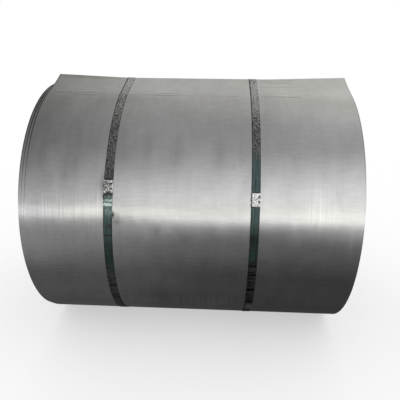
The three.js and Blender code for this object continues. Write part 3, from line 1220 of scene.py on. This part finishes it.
def make_camera():
    data = bpy.data.cameras.new("camera")
    data.lens = CAMERA_LENS
    data.sensor_width = CAMERA_FILM
    camera = bpy.data.objects.new("camera", data)
    bpy.context.scene.collection.objects.link(camera)
    moves_from_axis = (
        Matrix.Translation((0, 0, AXIS_HEIGHT)),
        Matrix.Rotation(-CAMERA_HEIGHT_ANGLE, 4, "X"),
        Matrix.Translation((CAMERA_SIDE, -CAMERA_DISTANCE, 0)),
        Matrix.Rotation(CAMERA_PAN, 4, "Z"),
        Matrix.Rotation(CAMERA_TILT, 4, "X"),
        Matrix.Rotation(CAMERA_ROLL, 4, "Y"),
        Matrix.Rotation(math.pi / 2, 4, "X"),
    )
    place = Matrix()
    for move in moves_from_axis:
        place = place @ move
    camera.matrix_world = place
    bpy.context.scene.camera = camera


def make_floor():
    """A pale floor. Half of its white is its own glow, which only the camera and gloss see."""
    bpy.ops.mesh.primitive_plane_add(size=FLOOR_SIZE, location=(0, 0, 0))
    floor = bpy.context.active_object
    floor.name = "floor"
    finish = new_finish("pale_floor")
    rays = finish.make("LightPath")
    seen = rays + rays.beside("Is Glossy Ray") + rays.beside("Is Transmission Ray")
    pale = finish.surface(
        Base_Color=grey(0.5),
        Roughness=1.0,
        Specular_IOR_Level=0.0,
        Emission_Color=finish.blend(seen, grey(0), grey(0.5)),
        Emission_Strength=1.0,
    )
    floor.data.materials.append(pale)


def stage_card(name, strength_of):
    """Turns the new active object into a glowing card that only the metal sees."""
    card = bpy.context.active_object
    card.name = name
    bpy.ops.object.transform_apply()
    finish = new_finish(name)
    glow = finish.make("Emission", {"Strength": strength_of(finish)})
    card.data.materials.append(finish.material(glow))
    for rays in ("camera", "diffuse", "transmission", "shadow", "volume_scatter"):
        setattr(card, "visible_" + rays, False)


# Away is how far a point of the cloth lies from the coil's middle, and heading how far that is to
# the right or, below zero, to the left. Each line makes one stretch paler or darker.


def cloth_nearby(away, heading):
    """How dark the cloth is before the coil and behind it."""
    leftward = heading.between(0.02, -0.16)
    rightward = heading.between(0.18, 0.32)
    level = 0.062 + 0.02 * away.between(0.38, 0.5)
    level += 0.078 * away.between(0.7, 1.1) + 0.15 * away.between(1.1, 2.6)
    level *= 1 - 0.18 * heading.between(0.1, 0.35) * away.between(1.7, 1.0)
    stretches = (
        0.035 * leftward * away.between(0.45, 0.65),
        -0.035 * heading.between(-0.05, 0.02) * away.near(1.75, 0.6),
        -0.09 * heading.near(0.18, 0.07) * away.near(2.4, 0.9),
        -0.05 * heading.near(-0.12, 0.05) * away.near(2.6, 1.6),
        0.05 * heading.between(0.32, 0.38) * away.near(3.1, 1.4),
        -0.12 * heading.between(-0.16, -0.22) * away.between(3.0, 4.6),
        (0.02 + 0.09 * leftward + 0.06 * rightward) * away.between(1.4, 2.5),
    )
    return sum(stretches, level)


def cloth_far_off(away, heading):
    """How much it pales far away."""
    level = 1.15 - 0.25 * heading.between(0.02, -0.16) - 0.68 * heading.between(-0.16, -0.22)
    level += 0.12 * heading.between(0.18, 0.32)
    level += 1.2 * heading.near(-0.03, 0.05) * away.near(4.6, 2.0)
    return level * away.between(2.8, 8.8) + 0.12 * away.between(8.8, 14.0)


def cloth_beyond_left_end(away, heading):
    """Its paleness beyond the coil's left end, near and far."""
    level = 0.063 + 0.025 * away.between(0.38, 0.5) + 0.054 * away
    stretches = (
        0.5 * away.between(5.2, 9.2),
        0.14 * away.between(0.7, 1.3),
        0.06 * heading.between(-0.42, -0.56) * away.between(0.75, 1.0),
        0.05 * heading.between(-0.38, -0.43) * away.near(3.6, 1.2),
        0.18 * heading.near(-0.29, 0.04) * away.between(5.0, 9.0),
    )
    return sum(stretches, level)


def cloth_glow(finish):
    along, back, _ = finish.parts(finish.place())
    away = (RING_SQUASH * along * along + back * back) ** 0.5
    heading = along / (away + 0.5)
    left = heading.between(-0.18, -0.33)
    before = cloth_nearby(away, heading) + cloth_far_off(away, heading)
    return before * (1 - left) + cloth_beyond_left_end(away, heading) * left


def make_dark_cloth():
    """A dark cloth under the coil that pales away from it, less so beyond the coil's left end."""
    bpy.ops.mesh.primitive_circle_add(
        vertices=96,
        radius=BACKDROP_RADIUS,
        fill_type="NGON",
        location=(0, 0, CLOTH_HEIGHT),
    )
    stage_card("dark_cloth", cloth_glow)


# Patches of the dome before the coil: where each lies along and up, its reach both ways, and how
# much paler it is. The dome's radius counts as 1.
DOME_PATCHES = (
    (-0.02, 0.87, 0.13, 0.09, 0.1),
    (-0.04, 0.66, 0.04, 0.16, 0.09),
    (-0.2, 0.68, 0.06, 0.16, -0.16),
    (0.27, 0.72, 0.05, 0.16, 0.18),
    (0.28, 0.38, 0.07, 0.16, -0.13),
)


def dome_sides(along, behind, upward):
    """How pale the dome is from left to right. Each line changes one stretch."""
    stretches = (
        0.5 * along.between(-0.38, -0.15),
        0.22 * along.between(0.05, 0.3),
        0.3 * along.between(0.13, 0.26) * behind.near(0.15, 0.45),
        0.05 * along.near(0.14, 0.07),
        -0.06 * along.near(-0.08, 0.07) * behind.between(0.45, 0.15),
        0.08 * along.near(-0.32, 0.06) * upward.between(0.4, 0.6),
        0.05 * along.between(-0.2, -0.3) * upward.between(0.32, 0.2),
        -0.09 * along.between(-0.3, -0.38) * upward.near(0.68, 0.28),
        -0.2 * along.near(-0.21, 0.05) * upward.between(0.04, 0.0),
        0.15 * along.between(-0.14, -0.07) * behind.near(0.5, 0.24),
        -0.09 * along.between(0.08, 0.24) * behind.between(0.68, 0.84),
        -0.09 * along.between(-0.34, -0.38) * upward.between(0.12, 0.03),
        0.045 * along.between(-0.28, -0.36) * upward.near(0.28, 0.12),
        patches(along, upward, DOME_PATCHES) * behind.between(-0.3, -0.5),
    )
    return sum(stretches, 0.5)


def dome_glow(finish):
    inputs = {"Vector": finish.place(), "Scale": 1 / BACKDROP_RADIUS}
    heading = finish.make("VectorMath", inputs, {"operation": "SCALE"})
    along, behind, upward = finish.parts(heading)
    level = 0.44 + 0.68 * upward.between(0.86, 0.3) + 0.06 * behind.near(0.3, 0.3)
    level -= 0.13 * along.between(0.17, 0.22) * upward.near(0.26, 0.17)
    sides = 0.35 * along.between(0.0, -0.2) + 0.1 * along.between(0.0, 0.15)
    rim = upward.near(0.055, 0.1) * (0.2 + sides)
    return level * dome_sides(along, behind, upward) + rim


def make_dome():
    """A grey dome overhead, paler toward its rim and toward the coil's right end."""
    bpy.ops.mesh.primitive_uv_sphere_add(segments=64, ring_count=32, radius=BACKDROP_RADIUS)
    stage_card("dome", dome_glow)


def make_world():
    """White all round."""
    world = bpy.data.worlds.new("world")
    bpy.context.scene.world = world
    finish = Finish(world)
    shader = finish.make("Background", {"Color": grey(1), "Strength": 1.0})
    finish.make("OutputWorld", {"Surface": shader})


# ---- putting it together ----

bpy.context.scene.view_settings.view_transform = "Standard"
make_camera()
make_strip()
for strap in STRAPS:
    make_strap(strap)
    make_seal(strap)
make_floor()
make_dark_cloth()
make_dome()
make_world()

bpy.context.view_layer.update()
